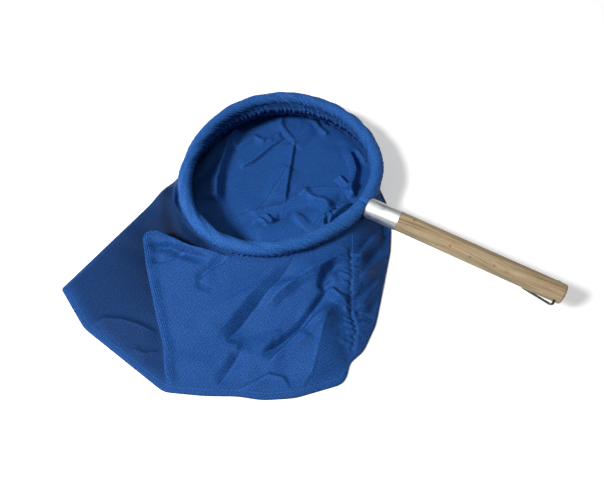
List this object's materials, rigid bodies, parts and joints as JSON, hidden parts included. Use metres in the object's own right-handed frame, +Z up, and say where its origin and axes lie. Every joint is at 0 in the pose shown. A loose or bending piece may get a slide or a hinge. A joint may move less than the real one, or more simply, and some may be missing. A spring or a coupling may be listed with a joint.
{
  "type": "leaf skimmer net",
  "caption": "Hand-held net: a deep cloth bag sewn to a padded round wire hoop, on a short wooden handle with a metal ferrule and a swinging wire hanging loop.",
  "frame": {"origin": "on the floor under the middle of the net's bounding box", "axes": "+X along the handle towards its butt, +Z up out of the bag's mouth, +Y completes the frame"},
  "size_m": [0.544, 0.451, 0.059],
  "materials": {
    "wood": "bare, weathered, satin",
    "alloy": "satin, turned",
    "hoop_steel": "drawn wire",
    "foam": "matte foam",
    "casing_cloth": "woven polyester",
    "bag_cloth": "woven polyester",
    "thread": "polyester thread",
    "loop_steel": "dark drawn wire"
  },
  "bodies": {
    "net": {"handle_dowel": "wood", "ferrule": "alloy", "hoop_wire": "hoop_steel", "rim_padding": "foam", "rim_casing": "casing_cloth", "casing_stitches": "thread", "bag_panel": "bag_cloth", "side_seam_stitches": "thread", "bottom_seam_stitches": "thread"},
    "loop": {"hanging_loop": "loop_steel"}
  },
  "joints": [
    {"name": "loop_swing", "type": "hinge", "parent": "net", "child": "loop", "pos_m": [0.264, 0.0915, 0.046], "axis": [0, -1, 0], "range_deg": [0, 310]}
  ]
}
